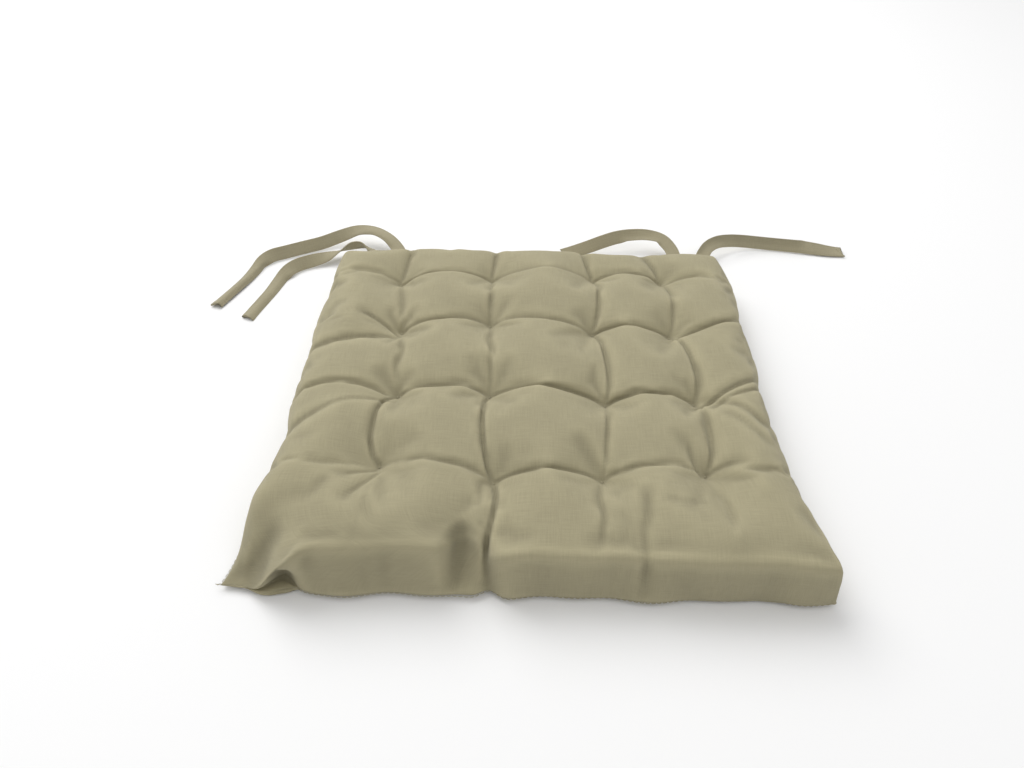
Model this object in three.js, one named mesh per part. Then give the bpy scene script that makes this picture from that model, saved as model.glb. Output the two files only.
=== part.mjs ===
// A tufted chair seat pad with four tie tapes.
// Millimetres, +Z up, +Y towards the ties. The origin is on the underside, in the middle of the pad.
import * as THREE from 'three';

// ---- Driving dimensions ----

// The pad: a 400 mm square pad that has settled a little wider at its front corners.
const PAD = { halfWidth: 208, halfDepth: 198, crown: 48, frontFlare: 12, backRounding: 9 };

// Where the top and bottom panels end, with the seam thread between them.
const SEAM = { upperZ: 6.8, lowerZ: 5.2, threadZ: 6, threadRadius: 0.5, threadSides: 6 };

// Cloth thickness, and the gap kept between touching pieces.
const CLOTH = 1;
const GAP = 0.3;

// How far in from the seam the pad has risen to its full height.
const WALL = { side: 30, front: 20, back: 26, underside: 12 };

// The tufts, where thread pulls the two panels together: columns along X, rows along Y.
const TUFT_COLUMNS = [-121, -35, 60, 134];
const TUFT_ROWS = [144, 65, -25, -109];
const TUFT = { topZ: 24, dimple: 4, dimpleFrom: 0.2, hole: 3 };

// Each tuft's thread: its shaft, and the knots that seat in the dimple at either end.
const KNOT = {
  sides: 6,
  shaftRadius: 1,
  seat: 0.5,
  topRadius: 3.2,
  topLift: 1.3,
  topHeight: 1.6,
  underRadius: 2.6,
  underZ: 0.9,
  underHeight: 1.4,
};

// The tufts are tied by hand, so each wanders from its place: [x, y] for each row and column.
const TUFT_WANDER = [
  [[-10, -7], [-4, 2], [4, 4], [-2, 1]],
  [[0, -3], [-3, 9], [-2, -2], [-4, -4]],
  [[7, 2], [0, 4], [4, -5], [6, -2]],
  [[4, 7], [7, -7], [-5, -4], [1, 3]],
];

// How much of a tuft's depth is in its own pinch, and how much in the grooves between tufts.
const PINCH_SHARE = 0.6;
const GROOVE_SHARE = 0.4;

// The stretch of the back seam that is closed by hand once the filling is in.
const CLOSING_HALF_LENGTH = 60;
const CLOSING_STEPS = 4;

// The grid that the panels are drawn on: its lines between two tufts, as shares of the way, and
// its lines near the seam, as distances from it.
const GRID = { between: [0.2, 0.5, 0.8], fromSeam: [0, 2.5, 8, 18, 40] };

// The tie tapes: folded cotton, and the block of stitches that holds each one in the seam.
const TAPE = { width: 15, thickness: 1.4, steps: 26 };
const ROOT = { width: 15, depth: 2, height: 5 };

// Each tie's route from its root: x, y, z and how far the tape leans from flat, in degrees.
// It leaves the seam straight and level, arches up, and then lies on its edge on the table.
const TIES = {
  tie_left_outer: {
    rootX: -138,
    route: [
      [-142, 223, 10, 0], [-150, 238, 14.5, -6], [-162, 252, 18.5, -12], [-179, 263, 19.5, -22],
      [-198, 266, 16.5, -36], [-218, 262, 11, -45], [-238, 253, 7.6, -46], [-258, 244, 6.8, -45],
      [-275, 235, 6.8, -45], [-288, 228, 6.8, -43], [-296, 219, 6.4, -24], [-301, 206, 5.6, 4],
      [-307, 190, 5.2, 22], [-314, 173, 5.2, 28], [-321, 156, 5.2, 28], [-328, 139, 5, 26],
    ],
  },
  tie_left_inner: {
    rootX: -168,
    route: [
      [-170, 221, 8, 0], [-177, 232, 12, 30], [-188, 239, 14.5, 58], [-201, 239, 13, 64],
      [-214, 233, 10, 32], [-228, 226, 7.2, -12], [-243, 218, 6.8, -38], [-256, 210, 6.8, -42],
      [-265, 200, 6, -26], [-271, 186, 4.4, 0], [-276, 169, 3.6, 12], [-281, 152, 3.4, 14],
      [-286, 135, 3.4, 14], [-290, 120, 3.4, 14],
    ],
  },
  tie_right_outer: {
    rootX: 190,
    route: [
      [192, 228, 9, 0], [199, 243, 13, 10], [211, 254, 14, 24], [226, 261, 12.5, 38],
      [243, 265, 10, 44], [263, 266, 7.6, 46], [284, 264, 6.8, 46], [305, 261, 6.6, 42],
      [325, 258, 5.6, 32], [343, 256, 4, 18], [360, 256, 2.4, 6],
    ],
  },
  tie_right_inner: {
    rootX: 164,
    route: [
      [162, 228, 10, 0], [158, 242, 14, -10], [149, 254, 17.5, -22], [134, 260, 18.5, -34],
      [117, 261, 18, -42], [100, 259, 16.5, -45], [84, 254, 14, -42], [68, 248, 11, -36],
      [52, 242, 8.5, -30], [37, 236, 7, -26],
    ],
  },
};
// The level stretch at each root, as distances behind the stitch block.
const ROOT_STRETCH = [0, 6, 12, 18];

// ---- The pad's surfaces ----

// The half width at a depth: level along the back, widening to the front corners.
function halfWidthAt(y) {
  const flare = THREE.MathUtils.smoothstep(-y, 70, PAD.halfDepth);
  return PAD.halfWidth + PAD.frontFlare * flare;
}

// 0 at a tuft's hole, 1 half way to the next, and 1 beyond half a pitch outside the last.
function swell(s, lines) {
  const sorted = [...lines].sort((a, b) => a - b);
  const inner = TUFT.hole / 2;
  const pitch = (sorted.at(-1) - sorted[0]) / (sorted.length - 1);
  if (s <= sorted[0] || s >= sorted.at(-1)) {
    const past = Math.max(sorted[0] - s, s - sorted.at(-1)) - inner;
    return Math.sin(Math.PI * THREE.MathUtils.clamp(past / pitch, 0, 0.5));
  }
  const i = sorted.findIndex((line) => line > s);
  const share = (s - sorted[i - 1] - inner) / (sorted[i] - sorted[i - 1] - TUFT.hole);
  return Math.sin(Math.PI * THREE.MathUtils.clamp(share, 0, 1));
}

// A quarter ellipse, from 0 at the seam to 1 at the wall's full reach.
function wallRise(fromSeam, reach) {
  const t = 1 - Math.min(fromSeam / reach, 1);
  return Math.sqrt(1 - t * t);
}

// How sharply a point is pulled down by the nearest tuft: 1 at the tuft, 0 between tufts.
function pinchAt(sx, sy) {
  return (1 - swell(sx, TUFT_COLUMNS)) * (1 - swell(sy, TUFT_ROWS));
}

// The rise of the wall across and along the pad, each from 0 at the seam to 1.
function walls(sx, sy) {
  return [
    wallRise(PAD.halfWidth - Math.abs(sx), WALL.side),
    wallRise(PAD.halfDepth - Math.abs(sy), sy < 0 ? WALL.front : WALL.back),
  ];
}

function topZ(sx, sy) {
  const acrossGroove = (1 - swell(sx, TUFT_COLUMNS)) ** 2;
  const alongGroove = (1 - swell(sy, TUFT_ROWS)) ** 2;
  const sunk = PINCH_SHARE * pinchAt(sx, sy) + GROOVE_SHARE * Math.max(acrossGroove, alongGroove);
  const quilted = PAD.crown - (PAD.crown - TUFT.topZ) * sunk;
  const [side, end] = walls(sx, sy);
  return SEAM.upperZ + (quilted - SEAM.upperZ) * side * end;
}

// The underside lies flat, with a dimple under each tuft and a rounded edge up to the seam.
function bottomZ(sx, sy) {
  const pinch = Math.max(0, pinchAt(sx, sy) - TUFT.dimpleFrom) / (1 - TUFT.dimpleFrom);
  const side = wallRise(PAD.halfWidth - Math.abs(sx), WALL.underside);
  const end = wallRise(PAD.halfDepth - Math.abs(sy), WALL.underside);
  return TUFT.dimple * pinch + SEAM.lowerZ * (1 - side * end);
}

// Each tuft's wander at any place: full at the tuft, shared between tufts, none at the seam.
function wanderAt(sx, sy) {
  const columns = [-PAD.halfWidth, ...TUFT_COLUMNS, PAD.halfWidth];
  const rows = [PAD.halfDepth, ...TUFT_ROWS, -PAD.halfDepth];
  const still = [0, 0];
  const at = (row, column) => TUFT_WANDER[row]?.[column] ?? still;
  const c = Math.max(0, columns.findIndex((line) => line >= sx) - 1);
  const r = Math.max(0, rows.findIndex((line) => line <= sy) - 1);
  const tx = (sx - columns[c]) / (columns[c + 1] - columns[c]);
  const ty = (sy - rows[r]) / (rows[r + 1] - rows[r]);
  return still.map((_, axis) => {
    const nearer = THREE.MathUtils.lerp(at(r - 1, c - 1)[axis], at(r - 1, c)[axis], tx);
    const further = THREE.MathUtils.lerp(at(r, c - 1)[axis], at(r, c)[axis], tx);
    return THREE.MathUtils.lerp(nearer, further, ty);
  });
}

// How far a point is drawn in from a square corner, at the two back corners.
function cornerInset(sx, sy) {
  const sharpness = 6;
  const nearness = (Math.abs(sx) / PAD.halfWidth) * (Math.max(sy, 0) / PAD.halfDepth);
  return PAD.backRounding * nearness ** sharpness;
}

// A point of the pad's surface, moved in from it by inset. level is topZ or bottomZ, and
// towardsFilling is -1 on the top panel, 1 on the bottom one and 0 at the seam.
function surfacePoint(sx, sy, level, towardsFilling, inset) {
  const [side, end] = walls(sx, sy);
  const corner = cornerInset(sx, sy);
  const [wanderX, wanderY] = wanderAt(sx, sy);
  const x = (sx * halfWidthAt(sy)) / PAD.halfWidth - Math.sign(sx) * corner + wanderX;
  const y = sy - corner + wanderY;
  return new THREE.Vector3(
    x - Math.sign(sx) * inset * Math.sqrt(1 - side * side),
    y - Math.sign(sy) * inset * Math.sqrt(1 - end * end),
    level(sx, sy) + towardsFilling * inset * side * end,
  );
}

// The grid lines across one direction, with one at both sides of each tuft's hole.
function gridLines(tuftLines, half) {
  const hole = TUFT.hole / 2;
  const sorted = [...tuftLines].sort((a, b) => a - b);
  const lines = sorted.flatMap((line) => [line - hole, line + hole]);
  for (let i = 1; i < sorted.length; i += 1) {
    for (const share of GRID.between) {
      lines.push(THREE.MathUtils.lerp(sorted[i - 1], sorted[i], share));
    }
  }
  for (const distance of GRID.fromSeam) {
    lines.push(distance - half, half - distance);
  }
  return lines.sort((a, b) => a - b);
}

const GRID_X = gridLines(TUFT_COLUMNS, PAD.halfWidth);
const GRID_Y = gridLines(TUFT_ROWS, PAD.halfDepth);

// The cells of the grid that a tuft thread passes through.
function isHole(i, j) {
  const holds = (lines, k) => (tuft) => lines[k] < tuft && tuft < lines[k + 1];
  return TUFT_COLUMNS.some(holds(GRID_X, i)) && TUFT_ROWS.some(holds(GRID_Y, j));
}

// A closed solid between two surfaces over the grid, with a hole through it at each tuft.
// upper and lower each take grid coordinates and return a point.
function quiltedSolid(upper, lower) {
  const columns = GRID_X.length;
  const layer = columns * GRID_Y.length;
  const positions = [];
  for (const surface of [upper, lower]) {
    for (const sy of GRID_Y) {
      for (const sx of GRID_X) {
        positions.push(...surface(sx, sy).toArray());
      }
    }
  }
  const index = [];
  const vertex = (i, j) => j * columns + i;
  const isCell = (i, j) =>
    i >= 0 && j >= 0 && i < columns - 1 && j < GRID_Y.length - 1 && !isHole(i, j);
  const wall = (a, b) => index.push(a, a + layer, b + layer, a, b + layer, b);
  for (let j = 0; j < GRID_Y.length - 1; j += 1) {
    for (let i = 0; i < columns - 1; i += 1) {
      if (!isCell(i, j)) continue;
      const [a, b, c, d] = [vertex(i, j), vertex(i + 1, j), vertex(i + 1, j + 1), vertex(i, j + 1)];
      index.push(a, b, c, a, c, d);
      index.push(a + layer, c + layer, b + layer, a + layer, d + layer, c + layer);
      if (!isCell(i, j - 1)) wall(a, b);
      if (!isCell(i + 1, j)) wall(b, c);
      if (!isCell(i, j + 1)) wall(c, d);
      if (!isCell(i - 1, j)) wall(d, a);
    }
  }
  const geometry = new THREE.BufferGeometry();
  geometry.setAttribute('position', new THREE.Float32BufferAttribute(positions, 3));
  geometry.setIndex(index);
  geometry.computeVertexNormals();
  return geometry;
}

function coverTop() {
  return quiltedSolid(
    (sx, sy) => surfacePoint(sx, sy, topZ, -1, 0),
    (sx, sy) => surfacePoint(sx, sy, topZ, -1, CLOTH),
  );
}

function coverBottom() {
  return quiltedSolid(
    (sx, sy) => surfacePoint(sx, sy, bottomZ, 1, CLOTH),
    (sx, sy) => surfacePoint(sx, sy, bottomZ, 1, 0),
  );
}

function filling() {
  return quiltedSolid(
    (sx, sy) => surfacePoint(sx, sy, topZ, -1, CLOTH + GAP),
    (sx, sy) => surfacePoint(sx, sy, bottomZ, 1, CLOTH + GAP),
  );
}

// ---- Threads ----

// A tuft's thread: a shaft through the pad, with a knot that seats in the dimple at each end.
function tuftThread() {
  const topSeat = TUFT.topZ + KNOT.seat;
  const topRim = TUFT.topZ + KNOT.topLift;
  const underRim = KNOT.underZ + KNOT.underHeight;
  const profile = [
    [0, KNOT.underZ],
    [KNOT.underRadius, KNOT.underZ],
    [KNOT.underRadius, underRim],
    [KNOT.shaftRadius, TUFT.dimple - KNOT.seat],
    [KNOT.shaftRadius, topSeat],
    [KNOT.topRadius, topRim],
    [KNOT.topRadius / 2, topRim + KNOT.topHeight],
    [0, topRim + KNOT.topHeight],
  ];
  const outline = profile.map(([radius, z]) => new THREE.Vector2(radius, z));
  return new THREE.LatheGeometry(outline, KNOT.sides);
}

// A point of the seam line, in the middle of the cloth's edge.
function seamPoint(sx, sy) {
  return surfacePoint(sx, sy, () => SEAM.threadZ, 0, CLOTH / 2);
}

// The seam line the long way round, from one end of the hand-closed stretch to the other.
function perimeterLine() {
  const { halfWidth, halfDepth } = PAD;
  const open = CLOSING_HALF_LENGTH + GAP;
  const leftwards = [...GRID_X].reverse();
  const forwards = [...GRID_Y].reverse();
  return [
    seamPoint(open, halfDepth),
    ...GRID_X.filter((sx) => sx > open).map((sx) => seamPoint(sx, halfDepth)),
    ...forwards.slice(1).map((sy) => seamPoint(halfWidth, sy)),
    ...leftwards.slice(1).map((sx) => seamPoint(sx, -halfDepth)),
    ...GRID_Y.slice(1).map((sy) => seamPoint(-halfWidth, sy)),
    ...GRID_X.slice(1).filter((sx) => sx < -open).map((sx) => seamPoint(sx, halfDepth)),
    seamPoint(-open, halfDepth),
  ];
}

function closingLine() {
  return Array.from({ length: CLOSING_STEPS + 1 }, (_, k) => {
    const share = k / CLOSING_STEPS;
    return seamPoint(THREE.MathUtils.lerp(-1, 1, share) * CLOSING_HALF_LENGTH, PAD.halfDepth);
  });
}

// A round thread along a level line of points.
function threadAlong(points) {
  const up = new THREE.Vector3(0, 0, 1);
  const frames = points.map((point, i) => {
    const before = points[Math.max(i - 1, 0)];
    const after = points[Math.min(i + 1, points.length - 1)];
    const across = new THREE.Vector3().subVectors(after, before).cross(up).normalize();
    return { point, across, up };
  });
  return sweep(frames, regularPolygon(SEAM.threadSides, SEAM.threadRadius));
}

function regularPolygon(sides, radius) {
  return Array.from({ length: sides }, (_, i) => {
    const angle = (2 * Math.PI * i) / sides;
    return [radius * Math.cos(angle), radius * Math.sin(angle)];
  });
}

// A closed solid swept along frames, each with its point and its across and up directions.
// section lists [across, up] pairs, counter-clockwise as seen looking back along the sweep.
function sweep(frames, section) {
  const positions = [];
  const index = [];
  const sides = section.length;
  for (const { point, across, up } of frames) {
    for (const [a, b] of section) {
      positions.push(...point.clone().addScaledVector(across, a).addScaledVector(up, b).toArray());
    }
  }
  for (let k = 0; k < frames.length - 1; k += 1) {
    for (let s = 0; s < sides; s += 1) {
      const [a, b] = [k * sides + s, k * sides + ((s + 1) % sides)];
      index.push(a, b + sides, b, a, a + sides, b + sides);
    }
  }
  const last = (frames.length - 1) * sides;
  for (let s = 1; s < sides - 1; s += 1) {
    index.push(0, s, s + 1);
    index.push(last, last + s + 1, last + s);
  }
  const geometry = new THREE.BufferGeometry();
  geometry.setAttribute('position', new THREE.Float32BufferAttribute(positions, 3));
  geometry.setIndex(index);
  geometry.computeVertexNormals();
  return geometry;
}

// ---- Ties ----

// The furthest back that the pad's edge reaches behind a root, which is at the root's inner side.
function backEdgeY(rootX) {
  const innerSide = Math.abs(rootX) - ROOT.width / 2;
  return surfacePoint(innerSide, PAD.halfDepth, topZ, -1, 0).y;
}

// The block of stitches that holds a tie's end in the seam.
function tieRoot({ rootX }) {
  const geometry = new THREE.BoxGeometry(ROOT.width, ROOT.depth, ROOT.height);
  return geometry.translate(rootX, backEdgeY(rootX) + GAP + ROOT.depth / 2, SEAM.threadZ);
}

// Where a tie's tape starts, just behind its block of stitches.
function tieStartY({ rootX }) {
  return backEdgeY(rootX) + ROOT.depth + 2 * GAP;
}

// The tape along its route. It leans about its own centre line, with its outer edge raised.
function tieTape(tie) {
  const startY = tieStartY(tie);
  const stretch = ROOT_STRETCH.map((back) => [tie.rootX, startY + back, SEAM.threadZ, 0]);
  const stops = [...stretch, ...tie.route];
  const curve = new THREE.CatmullRomCurve3(stops.map(([x, y, z]) => new THREE.Vector3(x, y, z)));
  const frames = Array.from({ length: TAPE.steps + 1 }, (_, k) => {
    const t = k / TAPE.steps;
    const along = curve.getTangent(t);
    const level = new THREE.Vector3(along.y, -along.x, 0).normalize();
    const lean = leanAt(stops, t);
    const across = level.applyAxisAngle(along, THREE.MathUtils.degToRad(lean));
    const up = new THREE.Vector3().crossVectors(across, along).normalize();
    return { point: curve.getPoint(t), across, up };
  });
  const [w, h] = [TAPE.width / 2, TAPE.thickness / 2];
  return sweep(frames, [[-w, -h], [w, -h], [w, h], [-w, h]]);
}

function leanAt(stops, t) {
  const place = t * (stops.length - 1);
  const i = Math.min(Math.floor(place), stops.length - 2);
  return THREE.MathUtils.lerp(stops[i][3], stops[i + 1][3], place - i);
}

// ---- Assembly ----

const COLOURS = { cover: 0xa59e83, filling: 0xe9e6dc, thread: 0xa39c80, tape: 0xa19a7f };

function piece(name, geometry, color, roughness = 0.95) {
  const material = new THREE.MeshStandardMaterial({ color, roughness, metalness: 0 });
  const mesh = new THREE.Mesh(geometry, material);
  mesh.name = name;
  return mesh;
}

function seatPad() {
  const pad = new THREE.Group();
  pad.add(piece('cover_top', coverTop(), COLOURS.cover));
  pad.add(piece('cover_bottom', coverBottom(), COLOURS.cover));
  pad.add(piece('filling', filling(), COLOURS.filling));
  pad.add(piece('perimeter_seam_thread', threadAlong(perimeterLine()), COLOURS.thread));
  pad.add(piece('closing_stitch', threadAlong(closingLine()), COLOURS.thread));
  TUFT_ROWS.forEach((y, row) => {
    TUFT_COLUMNS.forEach((x, column) => {
      const thread = piece(`tuft_thread_r${row + 1}c${column + 1}`, tuftThread(), COLOURS.thread);
      const place = surfacePoint(x, y, () => 0, 0, 0);
      thread.rotation.x = Math.PI / 2;
      thread.position.set(place.x, place.y, 0);
      pad.add(thread);
    });
  });
  for (const [name, tie] of Object.entries(TIES)) {
    pad.add(piece(`${name}_root`, tieRoot(tie), COLOURS.thread));
    pad.add(piece(name, tieTape(tie), COLOURS.tape));
  }
  return pad;
}

export default seatPad();
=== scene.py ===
"""A tufted cotton chair seat pad with four tie tapes, on a plain pale floor.

The cover is a cloth simulation: two cotton panels joined at their seam, held down at sixteen
tufts and blown up by their filling. Its sharpest creases are then pressed in. The ties are flat
folded tapes, modelled directly. Lengths are in metres, and the tables of places in millimetres.
"""

import math

import bpy
import numpy as np
from mathutils import Matrix, Vector


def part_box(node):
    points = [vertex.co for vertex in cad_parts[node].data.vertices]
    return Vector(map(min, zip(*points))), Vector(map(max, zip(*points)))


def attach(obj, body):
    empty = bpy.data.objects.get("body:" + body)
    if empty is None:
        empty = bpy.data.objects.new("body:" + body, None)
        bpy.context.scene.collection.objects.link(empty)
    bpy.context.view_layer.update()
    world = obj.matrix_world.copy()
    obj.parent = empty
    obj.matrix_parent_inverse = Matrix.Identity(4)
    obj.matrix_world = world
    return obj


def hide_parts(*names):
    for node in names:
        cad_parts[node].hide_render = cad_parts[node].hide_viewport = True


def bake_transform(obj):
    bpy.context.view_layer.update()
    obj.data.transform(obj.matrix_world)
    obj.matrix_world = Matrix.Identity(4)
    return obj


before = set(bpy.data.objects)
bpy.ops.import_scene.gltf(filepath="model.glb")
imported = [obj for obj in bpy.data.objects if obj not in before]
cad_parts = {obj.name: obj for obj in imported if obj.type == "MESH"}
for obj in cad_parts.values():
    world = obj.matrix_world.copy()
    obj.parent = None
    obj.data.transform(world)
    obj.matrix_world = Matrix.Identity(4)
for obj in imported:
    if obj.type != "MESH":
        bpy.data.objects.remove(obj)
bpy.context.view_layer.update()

MM = 0.001
scene = bpy.context.scene


# ---- Camera ----

CAMERA_PLACE = (-0.010, -0.493, 0.499)
CAMERA_DOWN, CAMERA_YAW, CAMERA_ROLL = 43.6, 0.7, 0.4  # degrees
LENS_MM, SENSOR_MM = 27.0, 36.0


def make_camera():
    data = bpy.data.cameras.new("camera")
    data.lens = LENS_MM
    data.sensor_width = SENSOR_MM
    camera = bpy.data.objects.new("camera", data)
    scene.collection.objects.link(camera)
    turn = (
        Matrix.Rotation(math.radians(CAMERA_YAW), 4, "Z")
        @ Matrix.Rotation(math.radians(90 - CAMERA_DOWN), 4, "X")
        @ Matrix.Rotation(math.radians(CAMERA_ROLL), 4, "Z")
    )
    camera.matrix_world = Matrix.Translation(CAMERA_PLACE) @ turn
    scene.camera = camera


make_camera()


# ---- Shared helpers ----


def add_mesh(name, points, faces):
    mesh = bpy.data.meshes.new(name)
    mesh.from_pydata([tuple(map(float, p)) for p in points], [], [tuple(map(int, f)) for f in faces])
    mesh.shade_smooth()
    piece = bpy.data.objects.new(name, mesh)
    scene.collection.objects.link(piece)
    return piece


def vertex_rows(mesh, key):
    """One row of three numbers for each vertex of a mesh."""
    flat = np.empty(len(mesh.vertices) * 3)
    mesh.vertices.foreach_get(key, flat)
    return flat.reshape(-1, 3)


def points_of(mesh):
    return vertex_rows(mesh, "co")


def normals_of(mesh):
    return vertex_rows(mesh, "normal")


def set_points(mesh, points):
    mesh.vertices.foreach_set("co", np.asarray(points, float).reshape(-1))
    mesh.update()


def store(mesh, name, values):
    """Keeps a vector at each point of a mesh, for its material to read."""
    layer = mesh.attributes.new(name, "FLOAT_VECTOR", "POINT")
    layer.data.foreach_set("vector", np.asarray(values, float).reshape(-1))


def smoothstep(value, low, high):
    share = np.clip((value - low) / (high - low), 0, 1)
    return share * share * (3 - 2 * share)


def bell(value, width):
    return np.exp(-((value / width) ** 2))


def unit_rows(rows):
    return rows / np.linalg.norm(rows, axis=1)[:, None]


def lengths_along(points):
    """How far along a line each of its points lies."""
    return np.concatenate([[0], np.cumsum(np.linalg.norm(np.diff(points, axis=0), axis=1))])


def row_at(length, lengths, rows):
    """The row at a length, where each row belongs to the length in the same place."""
    return np.array([np.interp(length, lengths, rows[:, axis]) for axis in range(3)])


def around(angle):
    """A level unit vector at an angle."""
    return np.array([math.cos(angle), math.sin(angle), 0])


def smooth_line(stops, steps):
    """A smooth curve through the stops, with the same number of steps between each two."""
    stops = np.asarray(stops, float)
    ends = np.concatenate([[2 * stops[0] - stops[1]], stops, [2 * stops[-1] - stops[-2]]])
    line = []
    for a, b, c, d in zip(ends, ends[1:], ends[2:], ends[3:]):
        for t in np.arange(steps) / steps:
            bend = (2 * a - 5 * b + 4 * c - d) * t**2 + (3 * b - a - 3 * c + d) * t**3
            line.append(0.5 * (2 * b + (c - a) * t + bend))
    line.append(stops[-1])
    return np.array(line)


def sweep(points, acrosses, ups, section):
    """Points and faces of a closed solid: section is [across, up] pairs, carried along points."""
    sides = len(section)
    made = [p + a * x + u * y for p, a, u in zip(points, acrosses, ups) for x, y in section]
    faces = []
    for ring in range(len(points) - 1):
        for side in range(sides):
            a = ring * sides + side
            b = ring * sides + (side + 1) % sides
            faces.append((a, b, b + sides, a + sides))
    last = (len(points) - 1) * sides
    faces.append(tuple(range(sides))[::-1])
    faces.append(tuple(range(last, last + sides)))
    return made, faces


STEEP = 0.9
TUBE_SIDES, FINE_TUBE_SIDES = 6, 5


def tube(points, radius, sides=TUBE_SIDES):
    """A round closed tube along points."""
    points = np.asarray(points, float)
    tangents = unit_rows(np.gradient(points, axis=0))
    aside = np.array([0, 0, 1.0]) if abs(tangents[0][2]) < STEEP else np.array([1.0, 0, 0])
    acrosses, ups = [], []
    for tangent in tangents:
        across = np.cross(tangent, aside)
        across /= np.linalg.norm(across)
        aside = np.cross(across, tangent)
        acrosses.append(across)
        ups.append(aside)
    turns = 2 * math.pi * np.arange(sides) / sides
    return sweep(points, acrosses, ups, radius * np.stack([np.cos(turns), np.sin(turns)], 1))


CLOTH_SLOT, THREAD_SLOT = 0, 1


class Parts:
    """Several closed solids gathered into one mesh, each of cloth or of thread."""

    def __init__(self):
        self.points, self.faces, self.slots, self.cloth = [], [], [], []

    def add(self, solid, slot=CLOTH_SLOT, cloth=None):
        """Adds a solid. cloth is where each of its points lies on the flat cloth."""
        points, faces = solid
        base = len(self.points)
        self.points.extend(points)
        self.faces.extend(tuple(base + v for v in face) for face in faces)
        self.slots.extend([slot] * len(faces))
        self.cloth.extend(points if cloth is None else cloth)

    def add_thread(self, points, radius, sides=TUBE_SIDES):
        self.add(tube(points, radius, sides), THREAD_SLOT)

    def build(self, name):
        piece = add_mesh(name, self.points, self.faces)
        for material in (TAPE_CLOTH, SEWING_THREAD):
            piece.data.materials.append(material)
        piece.data.polygons.foreach_set("material_index", self.slots)
        store(piece.data, "cloth", self.cloth)
        return piece


# ---- Materials ----

COTTON = (0.358, 0.322, 0.205)
COTTON_TAPE = (0.362, 0.324, 0.214)
THREAD = (0.372, 0.336, 0.22)

WEAVE_PITCH = 0.55 * MM
WEAVE_DEPTH, WEAVE_STRENGTH = 0.10 * MM, 0.7
SLUB_FINE, SLUB_LONG = 1400, 60  # a slub's scale across its thread and along it
SLUB_HEIGHT = 2.0  # against the weave's own height
PATCH_SCALE = 22.0
CRUMPLE_SCALE, CRUMPLE_DEPTH, CRUMPLE_STRENGTH = 75.0, 0.8 * MM, 0.35

# How much lighter each thing makes the cotton. The wear-and-fold-shade value is 1 on a ridge, which is made
# lighter as wear, and -1 in a fold, which is made darker as painted shade.
SLUB_TONE, PATCH_TONE, WEAVE_TONE, WEAR_AND_FOLD_SHADE_TONE = 0.26, 0.22, 0.04, 0.2
COTTON_ROUGHNESS, SLUB_ROUGHNESS = 0.82, 0.08

PLY_SCALE, PLY_DEPTH, PLY_STRENGTH = 700, 0.1 * MM, 0.5
PLY_DARK, PLY_TONE = 0.88, 0.2


class Nodes:
    """A material's node tree, with short ways to add nodes and to reach its shader."""

    def __init__(self, name):
        self.material = bpy.data.materials.new(name)
        self.material.use_nodes = True
        self.tree = self.material.node_tree
        self.shader = self.tree.nodes["Principled BSDF"]

    def add(self, kind, links=None, values=None, **settings):
        """A new node: links gives input sockets their sources, and values their plain numbers."""
        node = self.tree.nodes.new(kind)
        for key, value in settings.items():
            setattr(node, key, value)
        for socket, value in (values or {}).items():
            node.inputs[socket].default_value = value
        for socket, source in (links or {}).items():
            self.tree.links.new(source, node.inputs[socket])
        return node

    def attribute(self, name):
        return self.add("ShaderNodeAttribute", attribute_name=name).outputs["Vector"]

    def noise(self, place, scale, detail):
        values = {"Scale": scale, "Detail": detail}
        return self.add("ShaderNodeTexNoise", {"Vector": place}, values).outputs["Fac"]

    def math(self, operation, *inputs):
        """A math node on sources and plain numbers."""
        node = self.add("ShaderNodeMath", operation=operation)
        for place, value in enumerate(inputs):
            if isinstance(value, (int, float)):
                node.inputs[place].default_value = value
            else:
                self.tree.links.new(value, node.inputs[place])
        return node.outputs[0]

    def times_colour(self, tone, colour):
        """A colour made lighter or darker by a tone around 1."""
        return self.add("ShaderNodeVectorMath", {"Scale": tone}, {0: colour}, operation="SCALE").outputs[0]

    def bump(self, height, distance, strength, over=None):
        """The normal of a bumpy surface, on top of another bump's normal if there is one."""
        links = {"Height": height}
        if over is not None:
            links["Normal"] = over
        return self.add("ShaderNodeBump", links, {"Distance": distance, "Strength": strength}).outputs[0]

    def feed(self, **sources):
        """Links sources to the shader's sockets, with _ for a space in a socket's name."""
        for socket, source in sources.items():
            self.tree.links.new(source, self.shader.inputs[socket.replace("_", " ")])

    def fix(self, **values):
        """Sets plain numbers on the shader's own sockets."""
        for socket, value in values.items():
            self.shader.inputs[socket.replace("_", " ")].default_value = value


def plain_weave(nodes, cloth):
    """The weave's height: ridges across times ridges along."""
    place = nodes.add("ShaderNodeSeparateXYZ", {0: cloth})
    turns = 2 * math.pi / WEAVE_PITCH
    warp, weft = (nodes.math("SINE", nodes.math("MULTIPLY", place.outputs[k], turns)) for k in (0, 1))
    return nodes.math("MULTIPLY", warp, weft)


def slubs_both_ways(nodes, cloth):
    """Threads of uneven thickness, long one way and thin the other, around 1 in all."""
    streaks = []
    for scale in ((SLUB_FINE, SLUB_LONG, 1), (SLUB_LONG, SLUB_FINE, 1)):
        stretched = nodes.add("ShaderNodeMapping", {"Vector": cloth}, {"Scale": scale})
        streaks.append(nodes.noise(stretched.outputs[0], 1, 2))
    return nodes.math("ADD", *streaks)


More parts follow.
